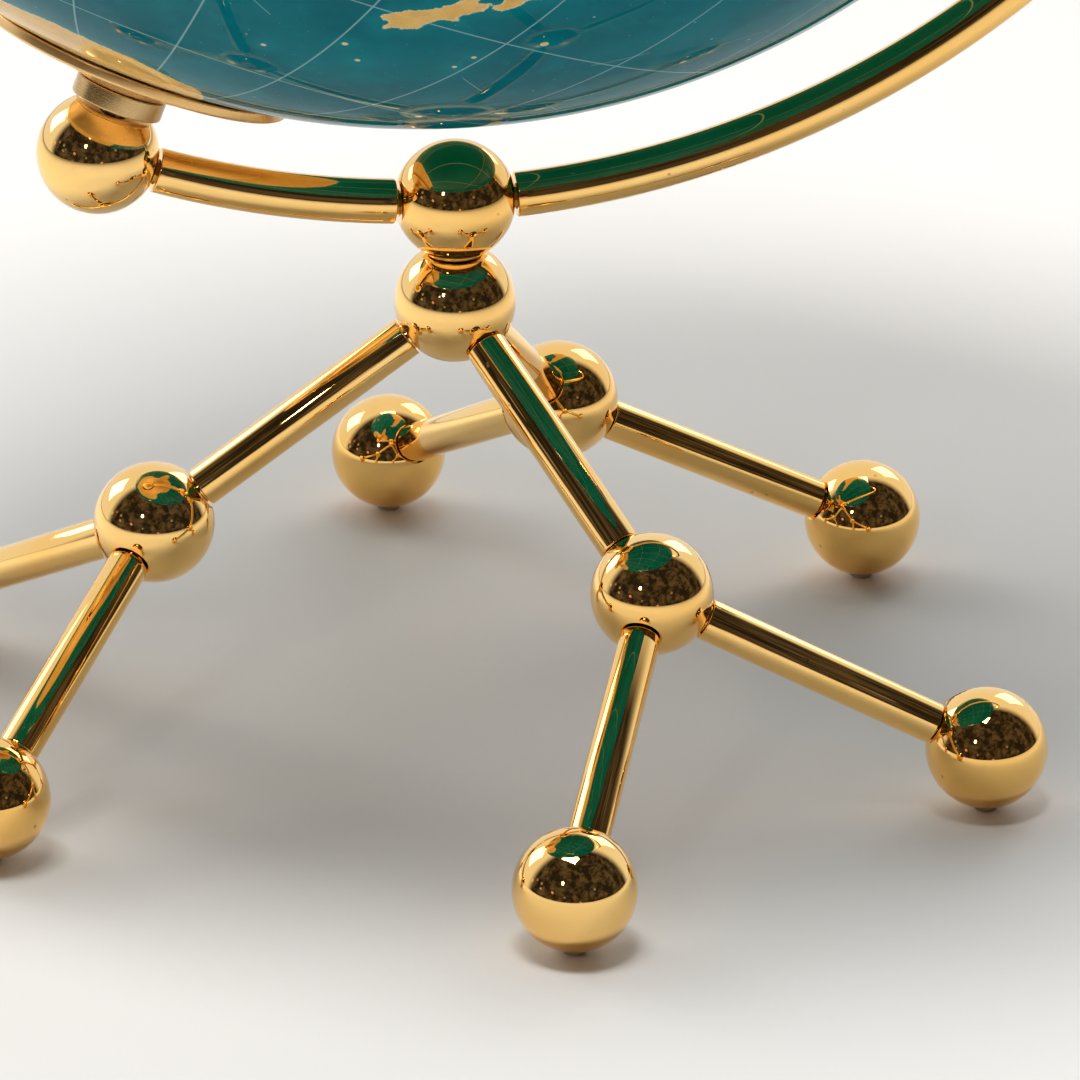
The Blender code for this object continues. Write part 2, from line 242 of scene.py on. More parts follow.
def dish_material():
    """Satin brushed gold for the spun dishes, brushed in circles round the polar axis."""
    n = Nodes("satin_dish_look")
    at = n.place()
    offset = n.node("ShaderNodeVectorMath", {0: at, 1: tuple(GLOBE_CENTRE)}, operation="SUBTRACT").outputs[0]
    along = n.dot(offset, tuple(POLAR_AXIS))
    size = n.node("ShaderNodeVectorMath", {0: offset}, operation="LENGTH").outputs["Value"]
    rings = n.math("SQRT", n.math("MAXIMUM", n.math("SUBTRACT", n.math("MULTIPLY", size, size),
                                                    n.math("MULTIPLY", along, along)), 0.0))
    spun = n.noise(n.node("ShaderNodeCombineXYZ", {"X": rings}).outputs[0], 1900.0, 4.0, 0.7)
    tone = n.noise(at, 40.0, 4.0, 0.55)
    colour = n.mix(n.step(tone, 0.35, 0.7), (0.80, 0.49, 0.18), (0.90, 0.61, 0.27))
    colour = n.mix(n.step(spun, 0.45, 0.8, 0.0, 0.45), colour, (0.55, 0.33, 0.13))
    rough = n.math("ADD", n.step(tone, 0.3, 0.7, 0.20, 0.30), n.math("MULTIPLY", spun, 0.10))
    return n.set(color=colour, rough=rough, metal=0.95, normal=n.bump(spun, 0.15, 0.00004))


def steel_material(name, light, dark):
    n = Nodes(name)
    at = n.place()
    tone = n.noise(at, 120.0, 4.0, 0.6)
    fine = n.noise(at, 1400.0, 2.0, 0.6)
    colour = n.mix(n.step(tone, 0.3, 0.75), light, dark)
    rough = n.math("ADD", n.step(tone, 0.3, 0.7, 0.22, 0.36), n.math("MULTIPLY", fine, 0.08))
    return n.set(color=colour, rough=rough, metal=1.0, normal=n.bump(fine, 0.2, 0.00003))


def nylon_material():
    n = Nodes("nylon_look")
    at = n.place()
    tone = n.noise(at, 90.0, 4.0, 0.6)
    fine = n.noise(at, 1800.0, 3.0, 0.6)
    colour = n.mix(n.step(tone, 0.3, 0.75), (0.80, 0.79, 0.74), (0.68, 0.66, 0.60))
    rough = n.step(fine, 0.3, 0.7, 0.42, 0.60)
    return n.set(color=colour, rough=rough, normal=n.bump(fine, 0.3, 0.00005), below=0.1)


def shadow_brown_rubber_material():
    n = Nodes("shadow_brown_rubber_look")
    at = n.place()
    tone = n.noise(at, 300.0, 4.0, 0.6)
    fine = n.noise(at, 2500.0, 3.0, 0.6)
    # Brownish tone of the foot pads: painted shade, standing in for the contact shadow under each foot ball;
    # the soft rubber of the pad is assumed
    colour = n.mix(n.step(tone, 0.3, 0.75), (0.66, 0.56, 0.44), (0.50, 0.41, 0.30))
    rough = n.step(fine, 0.3, 0.7, 0.45, 0.7)
    return n.set(color=colour, rough=rough, normal=n.bump(fine, 0.4, 0.00006), through=0.3)


def direction(longitude, latitude):
    """The unit vector of a place on the map, in the object's own space."""
    turn = math.radians(longitude - MAP_MERIDIAN)
    rise = math.radians(latitude)
    level = math.cos(turn) * MAP_X + math.sin(turn) * MAP_Y
    return math.cos(rise) * level + math.sin(rise) * POLAR_AXIS


# Small islands drawn as dots: longitude, latitude and radius in degrees
ISLETS = [(183.5, -43.95, 0.24), (179.05, -47.75, 0.12), (166.1, -50.7, 0.16), (169.2, -52.5, 0.13),
          (158.9, -54.6, 0.13), (178.8, -49.7, 0.11), (181.6, -29.3, 0.15)]
# Fine threads between points of the sea: start longitude and latitude, then end
THREADS = [(181.5, -51, 186.5, -52.5), (192, -45.5, 196, -42.5), (203.5, -40.5, 208, -38),
           (152, -47.5, 157, -50), (198.5, -53, 203.5, -54), (166.5, -38.5, 169.5, -36.5),
           (128, -48, 134, -51.5), (134, -51.5, 141, -50), (220, -40, 228, -35),
           (228, -35, 236, -38), (205, -12, 214, -8), (214, -8, 223, -1),
           (223, -1, 231, 5), (80, -30, 88, -25), (88, -25, 97, -29),
           (330, 12, 337, 19), (337, 19, 329, 26), (185, 20, 194, 25)]


def globe_material():
    """The printed map under a thick clear coat. The mesh carries each point's distance to the nearest
    coast in millimetres, positive on land; the graticule, stars and threads are drawn here."""
    n = Nodes("globe_print_look")
    at = n.place()
    offset = n.node("ShaderNodeVectorMath", {0: at, 1: tuple(GLOBE_CENTRE)}, operation="SUBTRACT").outputs[0]
    unit = n.node("ShaderNodeVectorMath", {0: offset}, operation="NORMALIZE").outputs[0]
    x, y, z = (n.dot(unit, tuple(axis)) for axis in (MAP_X, MAP_Y, POLAR_AXIS))
    latitude = n.math("ARCSINE", z)
    longitude = n.math("ARCTAN2", y, x)
    level = n.math("SQRT", n.math("SUBTRACT", 1.0, n.math("MULTIPLY", z, z)))
    millimetres = 1000 * GLOBE_RADIUS

    def grid(angle, shift, scale):
        """Distance in millimetres to the nearest line every 15 degrees."""
        turns = n.math("ADD", n.math("DIVIDE", angle, math.radians(15)), shift)
        away = n.math("ABSOLUTE", n.math("SUBTRACT", n.math("FRACT", turns), 0.5))
        away = n.math("MULTIPLY", n.math("SUBTRACT", 0.5, away), math.radians(15) * millimetres)
        return n.math("MULTIPLY", away, scale)

    meridian_shift = (MAP_MERIDIAN / 15) % 1 + 24
    lines = n.math("MINIMUM", grid(longitude, meridian_shift, level), grid(latitude, 12.0, 1.0))
    lines = n.step(lines, 0.26, 0.10)

    coast = n.node("ShaderNodeAttribute", attribute_name="coast_mm").outputs["Fac"]
    wander = n.math("MULTIPLY", n.math("SUBTRACT", n.noise(unit, 95.0, 5.0, 0.62), 0.5), 2.2)
    crinkle = n.math("MULTIPLY", n.math("SUBTRACT", n.noise(unit, 420.0, 3.0, 0.6), 0.5), 0.7)
    coast = n.math("ADD", coast, n.math("ADD", wander, crinkle))
    for islet_longitude, islet_latitude, radius in ISLETS:
        facing = n.dot(unit, tuple(direction(islet_longitude, islet_latitude)))
        away = n.math("MULTIPLY", n.math("ARCCOSINE", n.math("MINIMUM", facing, 1.0)), -millimetres)
        coast = n.math("MAXIMUM", coast, n.math("ADD", away, math.radians(radius) * millimetres))
    land = n.step(coast, -0.08, 0.08)
    outline = n.step(n.math("ABSOLUTE", coast), 0.30, 0.12)
    shelf = n.step(coast, -7.0, 0.0)

    depth = n.noise(unit, 5.5, 6.0, 0.6)
    swirl = n.noise(unit, 17.0, 5.0, 0.65, 0.6)
    sea = n.mix(n.step(depth, 0.30, 0.72), (0.0003, 0.125, 0.165), (0.0006, 0.175, 0.215))
    sea = n.mix(n.step(swirl, 0.50, 0.78, 0.0, 0.45), sea, (0.001, 0.225, 0.265))
    sea = n.mix(n.math("MULTIPLY", n.math("POWER", shelf, 2.0), 0.35), sea, (0.005, 0.27, 0.30))

    threads = None
    for start_longitude, start_latitude, end_longitude, end_latitude in THREADS:
        start = direction(start_longitude, start_latitude)
        end = direction(end_longitude, end_latitude)
        across = n.math("ABSOLUTE", n.dot(unit, tuple(start.cross(end).normalized())))
        middle = (start + end).normalized()
        close = n.math("GREATER_THAN", n.dot(unit, tuple(middle)), middle.dot(start))
        thread = n.math("MULTIPLY", close, n.step(n.math("MULTIPLY", across, millimetres), 0.16, 0.05))
        threads = thread if threads is None else n.math("MAXIMUM", threads, thread)

    stars = n.cells(unit, 34.0)
    chosen = n.math("GREATER_THAN", n.dot(stars.outputs["Color"], (0.0, 1.0, 0.0)), 0.66)
    size = n.math("MULTIPLY", n.dot(stars.outputs["Color"], (0.0, 0.0, 1.0)), 0.09)
    star = n.math("DIVIDE", stars.outputs["Distance"], n.math("ADD", size, 0.06))
    star = n.math("MULTIPLY", n.math("POWER", n.step(star, 1.0, 0.0), 1.6), chosen)
    dust = n.cells(unit, 120.0)
    grain = n.math("GREATER_THAN", n.dot(dust.outputs["Color"], (1.0, 0.0, 0.0)), 0.80)
    grain = n.math("MULTIPLY", n.step(dust.outputs["Distance"], 0.12, 0.04), n.math("MULTIPLY", grain, 0.55))

    colour = n.mix(n.math("MULTIPLY", n.math("MAXIMUM", star, grain), 0.8), sea, (0.40, 0.80, 0.95))
    colour = n.mix(n.math("MULTIPLY", threads, 0.55), colour, (0.30, 0.52, 0.54))
    colour = n.mix(n.math("MULTIPLY", lines, 0.60), colour, (0.36, 0.60, 0.62))
    relief = n.noise(unit, 38.0, 6.0, 0.7)
    ground = n.mix(n.step(relief, 0.38, 0.66), (0.84, 0.54, 0.17), (0.74, 0.455, 0.13))
    ground = n.mix(n.step(n.noise(unit, 7.0, 3.0), 0.45, 0.7, 0.0, 0.5), ground, (0.90, 0.62, 0.24))
    ground = n.mix(n.math("MULTIPLY", lines, 0.35), ground, (0.75, 0.66, 0.45))
    colour = n.mix(land, colour, ground)
    colour = n.mix(n.math("MULTIPLY", outline, 0.6), colour, (0.86, 0.76, 0.48))

    rough = n.math("ADD", n.math("MULTIPLY", land, 0.12), n.step(swirl, 0.3, 0.7, 0.24, 0.34))
    hills = n.math("MULTIPLY", n.math("MULTIPLY", relief, land), 0.3)
    print_edge = n.bump(n.math("ADD", land, hills), 0.2, 0.00003)
    wave = n.bump(n.noise(unit, 14.0, 1.0, 0.4), 0.03, 0.0003)
    n.shader.inputs["Coat IOR"].default_value = 1.24
    return n.set(color=colour, rough=rough, metal=n.math("MULTIPLY", land, 0.15), normal=print_edge,
                 specular=0.0, coat=0.6, coat_rough=0.012, coat_normal=wave)


# ------------------------------------------------- building helpers
def mesh_object(name, points, faces, material):
    mesh = bpy.data.meshes.new(name)
    mesh.from_pydata([tuple(point) for point in points], [], faces)
    shape = bmesh.new()
    shape.from_mesh(mesh)
    bmesh.ops.recalc_face_normals(shape, faces=shape.faces)
    shape.to_mesh(mesh)
    shape.free()
    mesh.materials.append(material)
    obj = bpy.data.objects.new(name, mesh)
    scene.collection.objects.link(obj)
    return obj


def smooth(obj, angle=30):
    obj.data.shade_smooth()
    obj.data.set_sharp_from_angle(angle=math.radians(angle))


def stands_for(obj, node, body="stand"):
    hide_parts(node)
    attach(obj, body)
    return obj


def turn_of(axis):
    return axis.to_track_quat("Z", "Y").to_matrix()


def lathe(name, profile, origin, axis, material, segments=ROD_SEGMENTS, closed=False):
    """A turned solid in world coordinates from (radius, height) points; closed for a ring."""
    turn = turn_of(axis)
    points, rows = [], []
    for radius, height in profile:
        if radius == 0:
            rows.append([len(points)] * segments)
            points.append(origin + turn @ Vector((0, 0, height)))
            continue
        rows.append(list(range(len(points), len(points) + segments)))
        for i in range(segments):
            angle = 2 * math.pi * i / segments
            spot = Vector((radius * math.cos(angle), radius * math.sin(angle), height))
            points.append(origin + turn @ spot)
    faces = []
    pairs = list(zip(rows, rows[1:])) + ([(rows[-1], rows[0])] if closed else [])
    for first, second in pairs:
        for i in range(segments):
            j = (i + 1) % segments
            corners = [first[i], first[j], second[j], second[i]]
            corners = [c for k, c in enumerate(corners) if c != corners[k - 1]]
            if len(corners) > 2:
                faces.append(corners)
    obj = mesh_object(name, points, faces, material)
    smooth(obj)
    return obj


def chamfered(profile, size):
    """The same profile with every outer corner marked by a size cut to a small chamfer."""
    out = []
    for i, (radius, height, cut) in enumerate(profile):
        if not cut:
            out.append((radius, height))
            continue
        here = Vector((radius, height))
        before = Vector(profile[i - 1][:2]) - here
        after = Vector(profile[(i + 1) % len(profile)][:2]) - here
        for side in (before, after):
            spot = here + size * side.normalized()
            out.append((spot.x, spot.y))
    return out


def ball(node, centre, sockets):
    """A ball with its spot faces and bores, and exact sphere normals on what is left of the sphere."""
    shape = bmesh.new()
    bmesh.ops.create_uvsphere(shape, u_segments=BALL_SEGMENTS, v_segments=BALL_RINGS, radius=BALL_RADIUS)
    shape.transform(Matrix.Translation(centre))
    mesh = bpy.data.meshes.new(node + "_look")
    shape.to_mesh(mesh)
    shape.free()
    mesh.materials.append(GOLD)
    obj = bpy.data.objects.new(node + "_look", mesh)
    scene.collection.objects.link(obj)
    cutters = []
    for axis, flat, bore_radius, bore_end in sockets:
        top, wide = 1.4 * BALL_RADIUS, 0.9 * BALL_RADIUS
        profile = [(0, top), (wide, top), (wide, flat), (bore_radius + BORE_LIP, flat),
                   (bore_radius, flat - BORE_LIP), (bore_radius, bore_end), (0, bore_end)]
        cutter = lathe("cutter", profile, centre, axis, GOLD, 48)
        cutters.append(cutter)
        cut = obj.modifiers.new("cut", "BOOLEAN")
        cut.operation = "DIFFERENCE"
        cut.solver = "EXACT"
        cut.object = cutter
    bpy.context.view_layer.update()
    depsgraph = bpy.context.evaluated_depsgraph_get()
    done = bpy.data.meshes.new_from_object(obj.evaluated_get(depsgraph))
    obj.modifiers.clear()
    obj.data = done
    for cutter in cutters:
        bpy.data.objects.remove(cutter)
    done.materials.clear()
    done.materials.append(GOLD)
    done.shade_smooth()
    normals = [None] * len(done.loops)
    for face in done.polygons:
        outward = face.center - centre
        on_sphere = outward.length > 0.985 * BALL_RADIUS and outward.normalized().dot(face.normal) > 0.995
        for loop in face.loop_indices:
            spot = done.vertices[done.loops[loop].vertex_index].co
            normals[loop] = (spot - centre).normalized() if on_sphere else face.normal.copy()
    done.normals_split_custom_set(normals)
    return stands_for(obj, node)


def rod_socket(axis, radius=SPIGOT_RADIUS):
    return axis, SPOT_FACE, radius + GAP, SPIGOT_END - 2 * GAP


def leg_rod(node, start, end):
    axis = (end - start).normalized()
    length = (end - start).length
    top = length - LEG_ROD_END
    size = ROD_EDGE
    profile = [(0, length - SPIGOT_END), (SPIGOT_RADIUS - size, length - SPIGOT_END),
               (SPIGOT_RADIUS, length - SPIGOT_END - size), (SPIGOT_RADIUS, top),
               (LEG_ROD_RADIUS - size, top)]
    for i in range(1, 5):
        angle = math.pi / 2 * i / 4
        profile.append((LEG_ROD_RADIUS - size + size * math.sin(angle), top - size + size * math.cos(angle)))
    for i in range(4):
        angle = math.pi / 2 * i / 4
        profile.append((LEG_ROD_RADIUS - size + size * math.cos(angle),
                        LEG_ROD_END + size - size * math.sin(angle)))
    profile += [(LEG_ROD_RADIUS - size, LEG_ROD_END), (SPIGOT_RADIUS, LEG_ROD_END),
                (SPIGOT_RADIUS, SPIGOT_END + size), (SPIGOT_RADIUS - size, SPIGOT_END), (0, SPIGOT_END)]
    obj = lathe(node + "_look", profile, start, axis, GOLD, ROD_SEGMENTS)
    return stands_for(obj, node)


def foot(name, mid, centre):
    to_mid = (mid - centre).normalized()
    recess = (-UP, BALL_RADIUS + 2 * PAD_PROUD, PAD_RADIUS + GAP, FOOT_CENTRE_Z - PAD_HEIGHT - GAP)
    ball(f"foot_ball_{name}", centre, [rod_socket(to_mid), recess])
    leg_rod(f"lower_rod_{name}", mid, centre)
    profile = [(0, PAD_HEIGHT), (PAD_RADIUS - SMALL_BEVEL, PAD_HEIGHT),
               (PAD_RADIUS, PAD_HEIGHT - SMALL_BEVEL)]
    for i in range(5):
        angle = math.pi / 2 * i / 4
        profile.append((PAD_RADIUS - PAD_EDGE + PAD_EDGE * math.cos(angle),
                        PAD_EDGE - PAD_EDGE * math.sin(angle)))
    profile += [(0, 0)]
    # The pad's brownish colour is painted shade of the contact shadow under the foot ball
    pad = lathe(f"foot_pad_{name}_look", profile, Vector((centre.x, centre.y, 0)), UP, SHADOW_BROWN_RUBBER, 48)
    stands_for(pad, f"foot_pad_{name}")


def leg(name, azimuth):
    outward = Vector((math.cos(azimuth), math.sin(azimuth), 0))
    mid = HUB + ROD_PITCH * (math.cos(UPPER_DROP) * outward - math.sin(UPPER_DROP) * UP)
    feet = {}
    for side, turn in (("a", -LOWER_SPLAY), ("b", LOWER_SPLAY)):
        level = Matrix.Rotation(turn, 3, "Z") @ outward
        feet[side] = mid + ROD_PITCH * (math.cos(LOWER_DROP) * level - math.sin(LOWER_DROP) * UP)
    leg_rod(f"upper_rod_{name}", HUB, mid)
    ends = [HUB, *feet.values()]
    ball(f"mid_ball_{name}", mid, [rod_socket((end - mid).normalized()) for end in ends])
    for side, centre in feet.items():
        foot(f"{name}_{side}", mid, centre)
    return (mid - HUB).normalized()


def arc_point(angle):
    return ARC_CENTRE + ARC_RADIUS * (math.sin(angle) * ALONG - math.cos(angle) * ARC_UP)


def arc_tangent(angle):
    return math.cos(angle) * ALONG + math.sin(angle) * ARC_UP


def arc_rod(node, first_ball, last_ball):
    """A bent round rod of the arc with rounded end edges and a straight blind bore in each end."""
    cut = ARC_ROD_END / ARC_RADIUS
    start, end = first_ball + cut, last_ball - cut
    steps = math.ceil((end - start) / ARC_STEP)
    size = ROD_EDGE
    stations = []
    for i in range(5):
        bend = math.pi / 2 * i / 4
        stations.append((start + size * (1 - math.sin(bend)) / ARC_RADIUS,
                         ARC_ROD_RADIUS - size + size * math.cos(bend)))
    rounded = stations[::-1]
    middle = [(start + (end - start) * i / steps, ARC_ROD_RADIUS) for i in range(1, steps)]
    mirror = [(start + end - angle, radius) for angle, radius in reversed(rounded)]
    points, rows = [], []

    def add_row(centre, forward, radius):
        out = (centre - ARC_CENTRE).normalized()
        out = (out - out.dot(forward) * forward).normalized()
        rows.append(list(range(len(points), len(points) + ROD_SEGMENTS)))
        for i in range(ROD_SEGMENTS):
            turn = 2 * math.pi * i / ROD_SEGMENTS
            points.append(centre + radius * (math.cos(turn) * out + math.sin(turn) * ARC_ACROSS))

    def bore(ball_angle, side):
        """Rows of the bore, from its mouth to its bottom."""
        forward = arc_tangent(ball_angle)
        centre = arc_point(ball_angle)
        mouth = ARC_ROD_END + 0.0002
        return [(centre + side * depth * forward, forward, ARC_STUD_RADIUS + GAP)
                for depth in (mouth, ARC_STUD_END + 2 * GAP)]

    for row in reversed(bore(first_ball, 1)):
        add_row(*row)
    for angle, radius in rounded + middle + mirror:
        add_row(arc_point(angle), arc_tangent(angle), radius)
    for row in bore(last_ball, -1):
        add_row(*row)
    faces = []
    for first, second in zip(rows, rows[1:]):
        for i in range(ROD_SEGMENTS):
            j = (i + 1) % ROD_SEGMENTS
            faces.append([first[i], first[j], second[j], second[i]])
    faces += [rows[0][::-1], rows[-1]]
    obj = mesh_object(node + "_look", points, faces, GOLD)
    smooth(obj)
    return stands_for(obj, node)


def dish_profile(bottom):
    """Rising from the collar to a thick rim with soft edges, with a boss inside."""
    under, inner = [], []
    for i in range(DISH_STEPS + 1):
        share = i / DISH_STEPS
        radius = COLLAR_RADIUS + (DISH_RADIUS - COLLAR_RADIUS) * share
        height = bottom + DISH_RISE * (1 - (1 - share) ** DISH_FLARE)
        under.append((radius, height))
        inner.append((radius, height + DISH_WALL + (DISH_EDGE - DISH_WALL) * share))
    low, high = under.pop(), inner.pop()
    rim = []
    for size, base, turn in ((RIM_TOP, high[1] - RIM_TOP, 1), (RIM_LOW, low[1] + RIM_LOW, -1)):
        bend = []
        for i in range(7):
            angle = math.pi / 2 * i / 6
            bend.append((DISH_RADIUS - size + size * math.cos(angle), base + turn * size * math.sin(angle)))
        rim += bend[::-turn]
    boss = bottom + DISH_BOSS_HEIGHT
    top = [(FITTING_BORE, boss), (DISH_BOSS_RADIUS - 0.0003, boss), (DISH_BOSS_RADIUS, boss - 0.0003),
           (DISH_BOSS_RADIUS, inner[0][1])]
    return top + inner + rim + under[::-1] + [(FITTING_BORE, bottom)]


def pole(side, name, spacer_length):
    outward = side * POLAR_AXIS
    inward = -outward
    centre = ARC_CENTRE + ARC_RADIUS * outward
    to_rod = arc_tangent(-AXIS_TILT) if side < 0 else -arc_tangent(math.pi - AXIS_TILT)
    pin_bore = (inward, POLE_FLAT, PIN_RADIUS + GAP, PIN_START - GAP)
    ball(f"{name}_ball", centre, [rod_socket(to_rod, ARC_STUD_RADIUS), pin_bore])
    start = COLLAR_START + spacer_length
    end = start + COLLAR_LENGTH
    size = COLLAR_EDGE
    collar = [(FITTING_BORE, end), (COLLAR_RADIUS - SMALL_BEVEL, end), (COLLAR_RADIUS, end - SMALL_BEVEL)]
    for i in range(6):
        angle = math.pi / 2 * i / 5
        collar.append((COLLAR_RADIUS - size + size * math.cos(angle), start + size - size * math.sin(angle)))
    collar += [(FITTING_BORE + SMALL_BEVEL, start), (FITTING_BORE, start + SMALL_BEVEL)]
    obj = lathe(f"{name}_collar_look", collar, centre, inward, CHAMPAGNE, FITTING_SEGMENTS, closed=True)
    stands_for(obj, f"{name}_collar")
    dish = dish_profile(end + GAP)
    obj = lathe(f"{name}_dish_look", dish, centre, inward, DISH, FITTING_SEGMENTS, closed=True)
    stands_for(obj, f"{name}_dish")
    if spacer_length:
        low, high = COLLAR_START, COLLAR_START + spacer_length - GAP
        ring = chamfered([(PIN_RADIUS + GAP, high, 0), (ARC_ROD_RADIUS, high, 1), (ARC_ROD_RADIUS, low, 1),
                          (PIN_RADIUS + GAP, low, 0)], 0.0003)
        obj = lathe(f"{name}_spacer_look", ring, centre, inward, GOLD, ROD_SEGMENTS, closed=True)
        stands_for(obj, f"{name}_spacer")


# ------------------------------------------------- coasts, as longitude east and latitude
SOUTH_ISLAND = [(172.7, -40.5), (173, -41.2), (174.3, -41), (174.3, -41.7), (173.7, -42.4), (172.8, -43.2),
    (173.1, -43.8), (171.9, -44.1), (171.2, -44.5), (170.9, -45.1), (170.7, -45.9), (169.8, -46.4),
    (168.9, -46.65), (168.3, -46.6), (167.6, -46.2), (166.6, -46.1), (166.5, -45.7), (167.2, -45),
    (168, -44.3), (169.2, -43.8), (170.2, -43.2), (171.1, -42.4), (171.5, -41.8), (172.1, -41)]
NORTH_ISLAND = [(172.7, -34.45), (173.4, -34.9), (174.3, -35.6), (174.8, -36.3), (174.9, -36.9),
    (175.5, -36.6), (175.9, -37), (176.2, -37.6), (177.2, -37.95), (178, -37.55), (178.5, -37.7),
    (178.3, -38.5), (177.9, -39.1), (177.1, -39.3), (176.9, -39.7), (177, -40), (176.3, -40.9),
    (175.3, -41.6), (174.7, -41.35), (175.1, -40.7), (175.1, -40.1), (174.4, -39.85), (173.8, -39.35),
    (174.5, -38.8), (174.8, -38), (174.7, -37.2), (174.2, -36.4), (173.6, -35.8), (173.1, -35.1)]
STEWART = [(167.5, -46.8), (168.1, -46.72), (168.25, -47), (167.8, -47.25), (167.55, -47.15)]
AUSTRALIA = [(142.5, -10.7), (143.5, -14.3), (145.3, -15), (146.3, -19), (149, -20.5), (150.8, -23.3),
    (153.2, -25.5), (153.5, -28.5), (152.5, -32.3), (150.8, -34.8), (150, -37.3), (146.5, -39.1),
    (144.5, -38.2), (141, -38.1), (139, -36), (138, -35), (137.6, -33), (136, -35), (134, -32.8),
    (131, -31.5), (127, -32.2), (123.5, -33.9), (119, -34.5), (115.5, -34.3), (115.7, -31.8),
    (113.5, -26.5), (113.8, -22.5), (117, -20.6), (121.5, -18.8), (122.3, -17.2), (124.5, -16), (127, -14),
    (129.5, -14.8), (130.8, -12.3), (133, -11.5), (136.8, -12.2), (135.8, -15), (139, -17.3),
    (140.9, -17.3), (141.6, -14), (142, -11.2)]
TASMANIA = [(144.8, -40.8), (148.2, -40.9), (148.3, -42.2), (147, -43.6), (145.6, -42.8)]
NEW_GUINEA = [(131, -0.8), (134, -0.9), (135, -3.3), (138, -1.7), (141.5, -2.7), (145.8, -5), (147.8, -6.7),
    (150.6, -10.4), (147, -9.3), (144, -7.7), (142, -9.2), (138.5, -8.2), (138, -5.5), (133, -4),
    (132.8, -2.7), (131.3, -1.4)]
BORNEO = [(109, 1.5), (111, 2.5), (113.5, 3.3), (117, 7), (119, 5.2), (117.7, 2), (116.5, -1.5),
    (116, -3.8), (113.5, -3.3), (110.2, -2.8), (109, -0.3)]
SUMATRA = [(95.4, 5.6), (98, 4.2), (100.5, 2), (103.5, -0.8), (106, -3.2), (105.8, -5.8), (104.4, -5.8),
    (101.5, -3.2), (99, 0.3), (97, 3)]
JAVA = [(105.3, -6.8), (108, -6.5), (111, -6.5), (114.3, -7.7), (114.3, -8.6), (110, -8.1), (106.5, -7.4)]
SULAWESI = [(119, -3.3), (119.8, 0.5), (123.5, 0.7), (125, 1.4), (123.5, 0.2), (120.5, 0), (121.5, -2),
    (122.6, -4.6), (121.2, -4.5), (120.4, -3), (120.3, -5.5), (119.5, -5.5)]
PHILIPPINES = [(120.3, 18.3), (122.2, 18.3), (121.6, 15.5), (124, 12.7), (125.6, 11), (126.4, 7.3),
    (125.4, 5.9), (122.2, 7.2), (123.5, 9), (122, 11.5), (120.2, 14)]
JAPAN = [(130, 32), (131.5, 34.2), (135.5, 35.5), (139.3, 38), (140.3, 41.2), (140, 43), (142, 45.4),
    (145.3, 43.5), (141.5, 41.5), (142, 39), (140.6, 35.7), (137, 34.7), (135.5, 33.6), (131.5, 31.3)]
TAIWAN = [(120.1, 23.2), (121.6, 25.2), (120.9, 22)]
CEYLON = [(79.9, 9.5), (81.8, 7.5), (80.6, 6), (79.8, 7.5)]
MADAGASCAR = [(49.3, -12.1), (50.4, -15.7), (49.3, -18.5), (47.2, -24.9), (45.2, -25.5), (43.5, -23),
    (44.4, -20), (44.3, -16.3), (47, -15.3)]
AFRICA = [(-6, 35.8), (-2, 35.2), (5, 36.8), (10.8, 37.2), (11, 33.6), (15.2, 32.3), (19.8, 30.5),
    (21.5, 32.9), (29, 30.9), (32.3, 31.2), (32.6, 29.8), (35.5, 24), (37.3, 20.8), (38.5, 18), (42.8, 12),
    (44.5, 10.5), (51.2, 11.9), (50, 8), (47.5, 4.2), (43.5, 0), (40.5, -2.6), (39, -6.5), (40.6, -10.7),
    (40.6, -15), (36.9, -18), (35, -20.5), (35.5, -24), (32.8, -26), (31.5, -29.3), (28, -32.8), (25, -34),
    (20, -34.8), (18.3, -33.8), (17, -29), (14.6, -23), (11.8, -17.5), (13.6, -12.5), (12.3, -6), (9.3, -1),
    (9.7, 3.5), (6, 4.3), (2.5, 6.3), (-3, 5.1), (-7.6, 4.4), (-12.5, 7.5), (-15, 11), (-17.3, 14.7),
    (-16.3, 19.5), (-17, 21.5), (-14.5, 26.2), (-12, 28), (-9.8, 31.4)]
